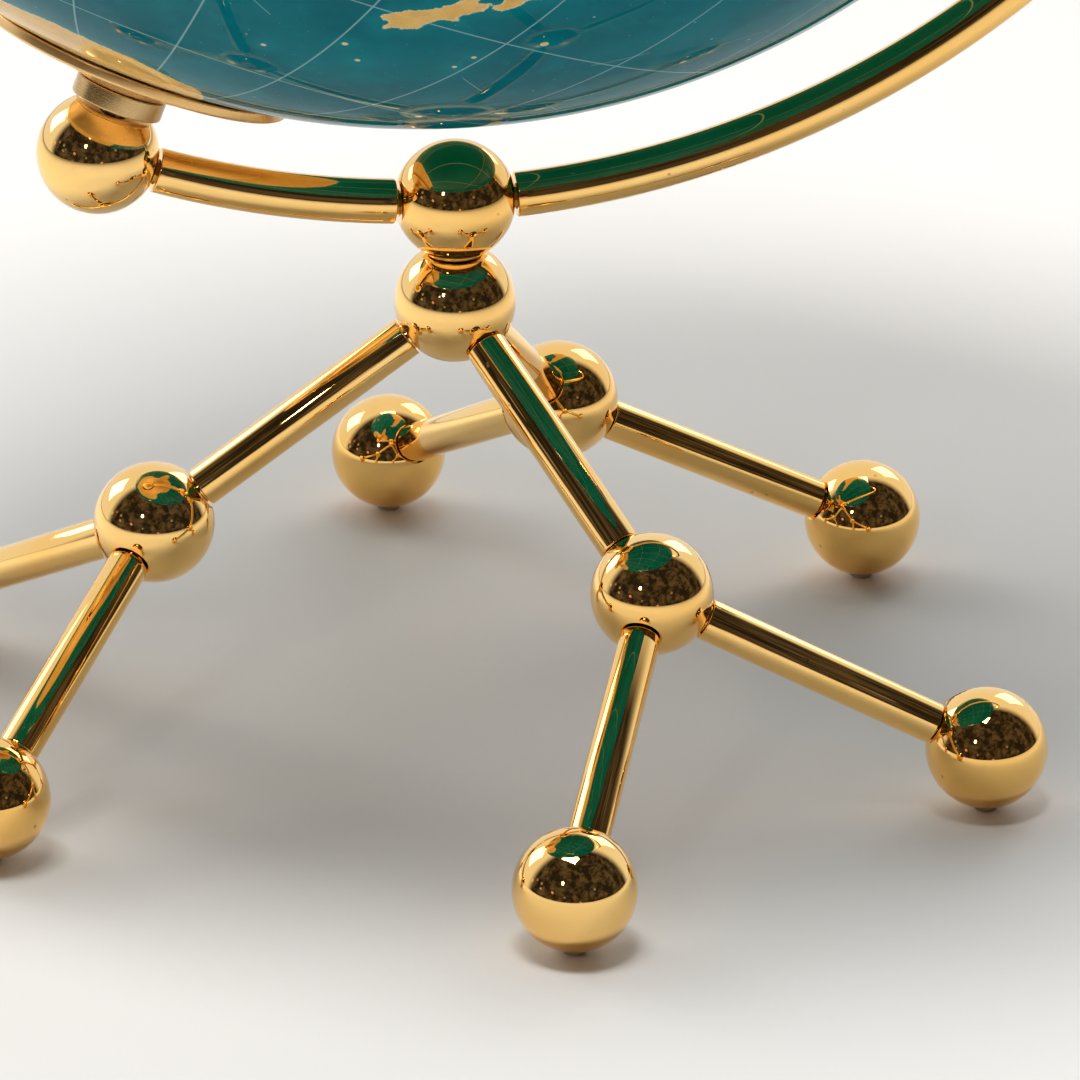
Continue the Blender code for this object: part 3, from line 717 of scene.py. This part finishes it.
EURASIA = [(-9.3, 37), (-9.3, 43.2), (-1.6, 43.4), (-1.2, 46.2), (-4.6, 48.4), (1.6, 50.8), (4.5, 52.4),
    (8.3, 54), (8.2, 57), (10.6, 57.6), (10.2, 54.6), (14.2, 54), (19, 54.4), (21.2, 56.8), (24.2, 57.2),
    (23.5, 59.2), (29.5, 60), (23, 60), (21.4, 61.5), (25.2, 65), (22, 65.7), (17.3, 62), (18.8, 59.9),
    (16.5, 57.5), (14.3, 55.5), (12, 57.5), (10.5, 59.3), (7.2, 58.1), (5.2, 61), (10.8, 64.2),
    (15.5, 68.3), (21, 70), (28, 71), (40.5, 67.8), (40.5, 66.3), (34, 66.7), (37.5, 64), (44, 66),
    (47, 67.5), (54, 68.4), (60.5, 69), (68, 68.5), (67, 71.5), (73, 71), (74, 67), (80, 72.5), (88, 75.3),
    (104, 77.6), (112, 76.5), (108, 73.5), (120, 73), (128, 71.5), (140, 72.6), (152, 70.9), (161, 69.5),
    (170.5, 69.9), (180, 68.8), (190, 66.3), (185.5, 64.6), (179.5, 64.8), (178.5, 62.5), (170.5, 60),
    (163.5, 59.5), (162.8, 56), (156.7, 51), (155.8, 56.5), (163.5, 61.5), (156.5, 61), (152, 59),
    (142.5, 59.2), (135.3, 54.8), (141, 52.5), (140.3, 48.5), (135, 43.3), (130.5, 42.4), (127.5, 39.7),
    (129.4, 36.5), (126.5, 34.4), (126.5, 37.5), (121.3, 39.2), (118, 38.5), (122.3, 37.2), (119.3, 35),
    (121.8, 31.5), (121.5, 28.5), (117.5, 23.8), (113.5, 22.3), (110, 20.5), (106.6, 20.3), (106, 18),
    (109.2, 13.5), (106.8, 10.4), (105, 8.8), (104.8, 10.5), (101, 12.7), (100, 13.4), (99.3, 10),
    (100.4, 7.1), (103.4, 4), (104.2, 1.4), (101.3, 2.9), (98.4, 8), (98.7, 11.5), (97.5, 16), (94.3, 16),
    (93.7, 19.5), (91.5, 22.6), (87, 21.4), (82.3, 16.7), (80.2, 15), (79.9, 10.5), (77.6, 8.1),
    (74.8, 12.5), (72.8, 19), (70.5, 20.9), (66.7, 25.2), (61.5, 25.1), (57, 26.8), (52.5, 27.5),
    (48.8, 30.2), (50.2, 26.5), (51.5, 24.8), (54, 24.2), (56.3, 26.1), (59.8, 22.5), (57.5, 19),
    (52, 15.6), (45, 12.9), (43.2, 13.2), (39.1, 21.3), (35, 28), (34.3, 31.2), (36, 35.9), (30.6, 36.4),
    (27.2, 37), (26.4, 40), (35, 42), (41.4, 41.6), (37.5, 44.7), (39.2, 47.1), (35, 45.5), (33.2, 46.1),
    (30.7, 46.4), (28, 42.8), (28.9, 41.1), (23.9, 40.6), (24, 37.9), (22.5, 36.6), (19.4, 40.4),
    (19.3, 42.2), (13.7, 45.1), (12.4, 44.3), (16, 41.8), (18.4, 40), (16.5, 39.8), (16, 38), (12.3, 41.6),
    (8.8, 44.4), (3.2, 43.2), (0, 39.8), (-0.7, 37.7), (-5.6, 36.1)]
BRITAIN = [(-5.2, 50.1), (1.3, 51.2), (1.6, 52.7), (-1.5, 55), (-2, 57.6), (-5, 58.5), (-5.6, 56.3),
    (-3.2, 54.5), (-4.5, 53.2), (-5, 51.8), (-3, 51.3)]
IRELAND = [(-6.2, 52.3), (-9.9, 51.6), (-9.8, 53.8), (-7.5, 55.2), (-5.6, 54.3)]
ICELAND = [(-22.5, 64), (-24, 65.5), (-20.5, 65.8), (-16, 66.4), (-13.8, 65), (-18.7, 63.5)]
GREENLAND = [(-73, 78.2), (-60, 82), (-33, 83.5), (-18, 80.5), (-20, 74.5), (-24.5, 70.5), (-35, 66.2),
    (-41.5, 62.8), (-44, 60), (-51, 63.5), (-54, 68), (-55, 71.5), (-62, 76.2)]
NORTH_AMERICA = [(-168, 65.7), (-156.5, 71.2), (-141, 69.6), (-128, 70.4), (-115, 68), (-108, 67.8),
    (-97, 68), (-94.5, 71.7), (-85.5, 69.5), (-82, 67.2), (-87, 64.2), (-94.5, 60.5), (-92.5, 57),
    (-85, 55.4), (-82.3, 53), (-79.5, 51.4), (-78.6, 54.8), (-77, 57.5), (-78.3, 62.2), (-72, 61.3),
    (-68, 58.6), (-64.5, 60.3), (-60.5, 55.4), (-56, 52.5), (-60.2, 50.2), (-66.5, 50.1), (-65, 47.5),
    (-61, 46), (-66, 43.6), (-70.5, 43.2), (-70.2, 41.8), (-74, 40.4), (-75.7, 36.5), (-81.2, 31.6),
    (-80.2, 26), (-81.8, 26.2), (-84, 30), (-89.5, 29.6), (-94.5, 29.4), (-97.4, 26.5), (-97.5, 22),
    (-95, 18.6), (-91.5, 18.7), (-90.2, 21.2), (-87, 21.4), (-88.2, 17), (-84, 15.8), (-83.5, 11.2),
    (-79.7, 9.5), (-77.4, 8.3), (-80.3, 7.4), (-85.7, 10.5), (-91.5, 14.2), (-96.5, 15.7), (-101.8, 17.8),
    (-105.6, 20.4), (-109, 25.5), (-113, 31.1), (-114.6, 30.5), (-110, 23.5), (-112.2, 25.8), (-115, 29.5),
    (-117.2, 32.8), (-120.6, 34.7), (-124.3, 40.4), (-123.9, 46), (-122.8, 49.2), (-129.8, 54.5),
    (-135.8, 58.5), (-145.5, 60.6), (-152, 59.4), (-158.5, 56.2), (-165, 54.6), (-158, 58.6), (-165, 61.5),
    (-161.5, 64.5)]
BAFFIN = [(-89, 73), (-80, 73.7), (-67.5, 69.3), (-61.8, 66.5), (-66, 62.3), (-73.5, 64.5), (-73, 67.8),
    (-84, 70)]
VICTORIA = [(-117, 70), (-105.5, 69), (-106, 73.5), (-118.5, 73.2)]
ELLESMERE = [(-89, 76.5), (-78, 76.5), (-65, 82), (-78, 83), (-90, 81)]
NEWFOUNDLAND = [(-59.3, 47.7), (-53.2, 46.8), (-54, 49.6), (-56, 51.5)]
CUBA = [(-84.8, 21.9), (-80, 23.1), (-74.3, 20.2), (-77.5, 19.9), (-81.8, 22.3)]
HISPANIOLA = [(-74.3, 18.4), (-72.8, 19.9), (-68.5, 18.5), (-71.5, 17.8)]
SOUTH_AMERICA = [(-77.3, 8.5), (-74.8, 11), (-71.6, 12.3), (-68, 10.7), (-62, 10.7), (-57, 6), (-51.5, 4.2),
    (-50, 0), (-44, -2.5), (-38.5, -3.7), (-35, -6.5), (-35.3, -9.3), (-39, -13), (-39.2, -17.8),
    (-41.5, -22.2), (-46, -24), (-48.7, -28.3), (-53.5, -34), (-57, -36), (-57.7, -38.1), (-62.2, -39),
    (-65.2, -41), (-63.8, -42.8), (-67.3, -46), (-65.8, -48), (-69, -51), (-68.3, -53), (-65.3, -54.8),
    (-71.5, -54.2), (-75.3, -50), (-74.5, -44.5), (-73.7, -39), (-71.5, -32.5), (-70.5, -25.5),
    (-70.3, -18.4), (-76.2, -13.8), (-79.8, -7), (-81.2, -4.7), (-79.9, -2.2), (-80, 0.7), (-77.3, 3.9)]
NEW_CALEDONIA = [(164, -20.1), (166.9, -22.3), (166.3, -22.2), (164.3, -20.9)]
FIJI = [(177.3, -17.8), (178.6, -17.8), (178.2, -18.3)]
HAWAII = [(-156, 20), (-155.2, 19.9), (-155, 19.3), (-155.8, 19.1)]
SVALBARD = [(12, 79), (20, 80.2), (24, 78.5), (16.5, 76.7)]
NOVAYA = [(52, 71.3), (56, 74.5), (67.5, 76.8), (60, 75), (57.5, 71)]
SAKHALIN = [(142, 46.2), (143.4, 49.5), (142.8, 54.3), (141.9, 51)]
COASTS = [SOUTH_ISLAND, NORTH_ISLAND, STEWART, AUSTRALIA, TASMANIA, NEW_GUINEA, BORNEO, SUMATRA, JAVA,
          SULAWESI, PHILIPPINES, JAPAN, TAIWAN, CEYLON, MADAGASCAR, AFRICA, EURASIA, BRITAIN, IRELAND,
          ICELAND, GREENLAND, NORTH_AMERICA, BAFFIN, VICTORIA, ELLESMERE, NEWFOUNDLAND, CUBA, HISPANIOLA,
          SOUTH_AMERICA, NEW_CALEDONIA, FIJI, HAWAII, SVALBARD, NOVAYA, SAKHALIN]
# The coast of the southern continent: longitude and the latitude of its shore there
ICE_SHORE = [(0, -70), (20, -70), (40, -69), (55, -66.2), (70, -68.5), (85, -66.6), (100, -65.8),
    (115, -66.7), (130, -66), (145, -67), (160, -70), (165, -73.5), (170, -77.8), (190, -78.3), (205, -77),
    (215, -75), (235, -74), (255, -73), (285, -73), (292, -67), (300, -63.6), (302, -65), (297, -71),
    (300, -77), (320, -78), (335, -74), (350, -71.5), (360, -70)]


def coast_distance(points):
    """Millimetres from each point of the globe to the nearest coast, positive on land."""
    unit = (points - np.array(GLOBE_CENTRE)) / GLOBE_RADIUS
    x, y, z = (unit @ np.array(axis) for axis in (MAP_X, MAP_Y, POLAR_AXIS))
    latitude = np.degrees(np.arcsin(np.clip(z, -1, 1)))
    longitude = (np.degrees(np.arctan2(y, x)) + MAP_MERIDIAN) % 360
    per_degree = math.radians(1000 * GLOBE_RADIUS)
    shrink = np.cos(np.radians(latitude))
    nearest = np.full(len(points), 1e9)
    inside = np.zeros(len(points), bool)
    for outline in COASTS:
        shore = np.array(outline)
        middle = (shore[:, 0].min() + shore[:, 0].max()) / 2
        here = (longitude - middle + 180) % 360 - 180 + middle
        following = np.roll(shore, -1, axis=0)
        for (ax, ay), (bx, by) in zip(shore, following):
            rising = (ay > latitude) != (by > latitude)
            if ay != by:
                crossing = ax + (latitude - ay) * (bx - ax) / (by - ay)
                inside ^= rising & (here < crossing)
            px, py = (here - ax) * shrink, latitude - ay
            qx, qy = (bx - ax) * shrink, by - ay
            share = np.clip((px * qx + py * qy) / (qx * qx + qy * qy), 0, 1)
            nearest = np.minimum(nearest, (px - share * qx) ** 2 + (py - share * qy) ** 2)
    away = np.sqrt(nearest) * per_degree
    signed = np.where(inside, away, -away)
    shore = np.array(ICE_SHORE)
    ice = (np.interp(longitude, shore[:, 0], shore[:, 1]) - latitude) * per_degree
    return np.where(ice > 0, ice, np.where(-ice < away, np.maximum(ice, signed), signed))


def shell(node, latitudes, longitudes):
    """Half the globe's skin as a closed wall: fine outside, plain inside, with each point's coast distance.
    Latitudes and longitudes are in radians."""
    turn = Matrix((MAP_X, MAP_Y, POLAR_AXIS)).transposed()
    inner_radius = GLOBE_RADIUS - SHELL_WALL
    points, faces = [], []
    count = len(longitudes)
    for radius, rows in ((GLOBE_RADIUS, latitudes), (inner_radius, latitudes[::6] + [latitudes[-1]])):
        for rise in rows:
            for longitude in longitudes:
                spot = Vector((math.cos(rise) * math.cos(longitude), math.cos(rise) * math.sin(longitude),
                               math.sin(rise)))
                points.append(GLOBE_CENTRE + radius * (turn @ spot))
    rows = [range(i * count, (i + 1) * count) for i in range(len(points) // count)]
    outer, inner = rows[:len(latitudes)], rows[len(latitudes):]
    chain = list(outer) + list(inner)[::-1]
    for first, second in zip(chain, chain[1:] + chain[:1]):
        for i in range(count):
            j = (i + 1) % count
            faces.append([first[i], first[j], second[j], second[i]])
    obj = mesh_object(node + "_look", points, faces, GLOBE)
    smooth(obj)
    data = obj.data
    places = np.empty(3 * len(data.vertices), np.float32)
    data.vertices.foreach_get("co", places)
    coast = coast_distance(places.reshape(-1, 3).astype(float)).astype(np.float32)
    data.attributes.new("coast_mm", "FLOAT", "POINT").data.foreach_set("value", coast)
    return stands_for(obj, node, "globe")


def spaced(stops):
    """Values between stops given as (value, step to the next)."""
    out = []
    for (low, step), (high, _) in zip(stops, stops[1:]):
        count = max(1, round(abs(high - low) / step))
        out += [low + (high - low) * i / count for i in range(count)]
    return out + [stops[-1][0]]


def globe():
    hole = math.degrees(math.acos((BUSH_RADIUS + GAP) / GLOBE_RADIUS))
    edge = math.degrees(math.asin(GAP / 2 / GLOBE_RADIUS))
    west, east = FINE_WEST - MAP_MERIDIAN, FINE_EAST - MAP_MERIDIAN
    turns = spaced([(west, FINE_STEP), (east, COARSE_STEP), (west + 360, COARSE_STEP)])[:-1]
    south = spaced([(-hole, POLAR_STEP), (FINE_SOUTH, FINE_STEP), (FINE_NORTH, COARSE_STEP),
                    (-edge, COARSE_STEP)])
    shell("globe_shell_south", [math.radians(v) for v in south], [math.radians(v) for v in turns])
    north = spaced([(edge, 1.0), (hole, 1.0)])
    even = spaced([(0, 0.8), (360, 0.8)])[:-1]
    shell("globe_shell_north", [math.radians(v) for v in north], [math.radians(v) for v in even])


# ------------------------------------------------- materials and pieces
GOLD = gold_material()
CHAMPAGNE = champagne_material()
DISH = dish_material()
STEEL = steel_material("steel_look", (0.66, 0.64, 0.60), (0.46, 0.44, 0.41))
BRASS = steel_material("plated_stud_look", (0.95, 0.55, 0.12), (0.70, 0.36, 0.07))
NYLON = nylon_material()
SHADOW_BROWN_RUBBER = shadow_brown_rubber_material()
GLOBE = globe_material()

rods = [rod_socket(leg(name, azimuth)) for name, azimuth in LEGS.items()]
neck_flat = (HUB_PITCH - WASHER_THICKNESS) / 2 - GAP
neck = (neck_flat, SPIGOT_RADIUS + GAP, SPIGOT_END - 2 * GAP)
ball("hub_ball_lower", HUB, [*rods, (UP, *neck)])
arms = [rod_socket(side * arc_tangent(0), ARC_STUD_RADIUS) for side in (1, -1)]
ball("hub_ball_upper", UPPER_HUB, [*arms, (-UP, *neck)])
arc_rod("arc_rod_short", -AXIS_TILT, 0)
arc_rod("arc_rod_long", 0, math.pi - AXIS_TILT)
pole(-1, "south", 0.0)
pole(1, "north", 2 * AXIS_SLIDE)
globe()

KEPT = {"hub_washer": BRASS, "stud": BRASS, "bush": NYLON, "thrust": NYLON, "equator_ring": NYLON}
for name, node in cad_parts.items():
    look = next((material for key, material in KEPT.items() if key in name), STEEL)
    node.data.materials.clear()
    node.data.materials.append(look)

# ------------------------------------------------- floor, light and camera
FLOOR_HALF = 6.0


def floor():
    n = Nodes("floor_look")
    at = n.place()
    tone = n.noise(at, 1.6, 4.0, 0.5)
    fine = n.noise(at, 900.0, 3.0, 0.6)
    colour = n.mix(n.step(tone, 0.3, 0.75), (0.80, 0.785, 0.765), (0.84, 0.83, 0.815))
    colour = n.mix(n.step(fine, 0.5, 0.8, 0.0, 0.05), colour, (0.70, 0.69, 0.67))
    n.set(color=colour, rough=n.step(fine, 0.3, 0.7, 0.55, 0.65), normal=n.bump(fine, 0.05, 0.0001),
          specular=0.3)
    mesh = bpy.data.meshes.new("floor")
    corners = [(x, y, 0) for x, y in ((-1, -1), (1, -1), (1, 1), (-1, 1))]
    mesh.from_pydata([tuple(FLOOR_HALF * v for v in corner) for corner in corners], [], [(0, 1, 2, 3)])
    mesh.materials.append(n.material)
    obj = bpy.data.objects.new("floor", mesh)
    scene.collection.objects.link(obj)


def area_light(name, place, target, size, energy, colour, height):
    data = bpy.data.lights.new(name, "AREA")
    data.energy = energy
    data.color = colour
    data.shape = "RECTANGLE"
    data.size = size
    data.size_y = height
    light = bpy.data.objects.new(name, data)
    light.location = place
    light.rotation_euler = (Vector(target) - Vector(place)).to_track_quat("-Z", "Y").to_euler()
    scene.collection.objects.link(light)


def backdrop():
    """A white studio behind and beside the object, and a dark room on the viewer's side."""
    world = bpy.data.worlds.new("studio")
    scene.world = world
    world.use_nodes = True
    tree = world.node_tree
    background = tree.nodes["Background"]
    spot = tree.nodes.new("ShaderNodeTexCoord")
    parts = tree.nodes.new("ShaderNodeSeparateXYZ")
    where = spot.outputs["Generated"]
    tree.links.new(where, parts.inputs[0])

    def add(kind, **settings):
        made = tree.nodes.new(kind)
        for key, value in settings.items():
            setattr(made, key, value)
        return made

    def fade(value, low, high, to_low=0.0, to_high=1.0):
        made = add("ShaderNodeMapRange", interpolation_type="SMOOTHSTEP")
        for socket, number in zip(list(made.inputs)[1:5], (low, high, to_low, to_high)):
            socket.default_value = number
        tree.links.new(value, made.inputs["Value"])
        return made.outputs["Result"]

    def blend(share, a, b):
        made = add("ShaderNodeMix", data_type="RGBA")
        tree.links.new(share, made.inputs[0])
        for index, value in ((6, a), (7, b)):
            if isinstance(value, tuple):
                made.inputs[index].default_value = (*value, 1)
            else:
                tree.links.new(value, made.inputs[index])
        return made.outputs[2]

    clutter = add("ShaderNodeTexNoise")
    clutter.inputs["Scale"].default_value = 4.2
    clutter.inputs["Detail"].default_value = 6.0
    clutter.inputs["Roughness"].default_value = 0.7
    tree.links.new(where, clutter.inputs["Vector"])
    things = add("ShaderNodeTexVoronoi")
    things.inputs["Scale"].default_value = 6.5
    tree.links.new(where, things.inputs["Vector"])
    tint = add("ShaderNodeSeparateColor")
    tree.links.new(things.outputs["Color"], tint.inputs[0])
    low = add("ShaderNodeMath", operation="MULTIPLY")
    tree.links.new(fade(tint.outputs["Red"], 0.80, 0.84), low.inputs[0])
    tree.links.new(fade(parts.outputs["Z"], 0.42, 0.22), low.inputs[1])
    small = add("ShaderNodeMath", operation="MULTIPLY")
    tree.links.new(low.outputs[0], small.inputs[0])
    tree.links.new(fade(things.outputs["Distance"], 0.34, 0.24), small.inputs[1])
    room = blend(fade(clutter.outputs["Fac"], 0.42, 0.66), (0.018, 0.015, 0.013), (0.120, 0.098, 0.082))
    thing = blend(fade(tint.outputs["Green"], 0.35, 0.65), (0.75, 0.36, 0.32), (0.60, 0.58, 0.55))
    room = blend(small.outputs[0], room, thing)
    studio = blend(fade(parts.outputs["Y"], 0.08, 0.36), room, (0.90, 0.905, 0.91))
    tree.links.new(studio, background.inputs["Color"])
    background.inputs["Strength"].default_value = 1.0


floor()
backdrop()
area_light("key", (-0.28, -0.30, 1.9), (0, 0, 0.1), 0.80, 28.0, (1.0, 0.985, 0.96), 0.45)
area_light("top", (0.05, 0.38, 1.8), (0.05, 0.1, 0.0), 0.7, 5.5, (1.0, 0.99, 0.97), 0.6)
area_light("left", (-1.3, 1.3, 1.0), (-0.1, 0.0, 0.0), 0.8, 7.5, (1.0, 0.975, 0.94), 0.9)
area_light("right", (1.1, 1.4, 1.0), (0.1, 0.0, 0.0), 0.7, 4.0, (0.97, 0.985, 1.0), 0.9)
area_light("front", (-1.1, -1.6, 1.2), (0, 0, 0.03), 0.14, 2.0, (1.0, 0.98, 0.95), 0.2)

SENSOR_WIDTH = 36.0
FOCAL_LENGTH = 311.82
CAMERA_PLACE = (-0.30779, -1.78307, 0.77973)
CAMERA_HEADING = math.radians(-9.9206)
CAMERA_PITCH = math.radians(67.5712)
CAMERA_ROLL = math.radians(0.2146)
lens = bpy.data.cameras.new("camera")
lens.sensor_width = SENSOR_WIDTH
lens.sensor_fit = "HORIZONTAL"
lens.lens = FOCAL_LENGTH
lens.clip_start = 0.05
lens.clip_end = 40.0
camera = bpy.data.objects.new("camera", lens)
aim = Matrix.Rotation(CAMERA_HEADING, 4, "Z") @ Matrix.Rotation(CAMERA_PITCH, 4, "X")
aim = aim @ Matrix.Rotation(CAMERA_ROLL, 4, "Z")
camera.matrix_world = Matrix.Translation(CAMERA_PLACE) @ aim
scene.collection.objects.link(camera)
scene.camera = camera
scene.view_settings.view_transform = "Standard"
scene.view_settings.look = "None"
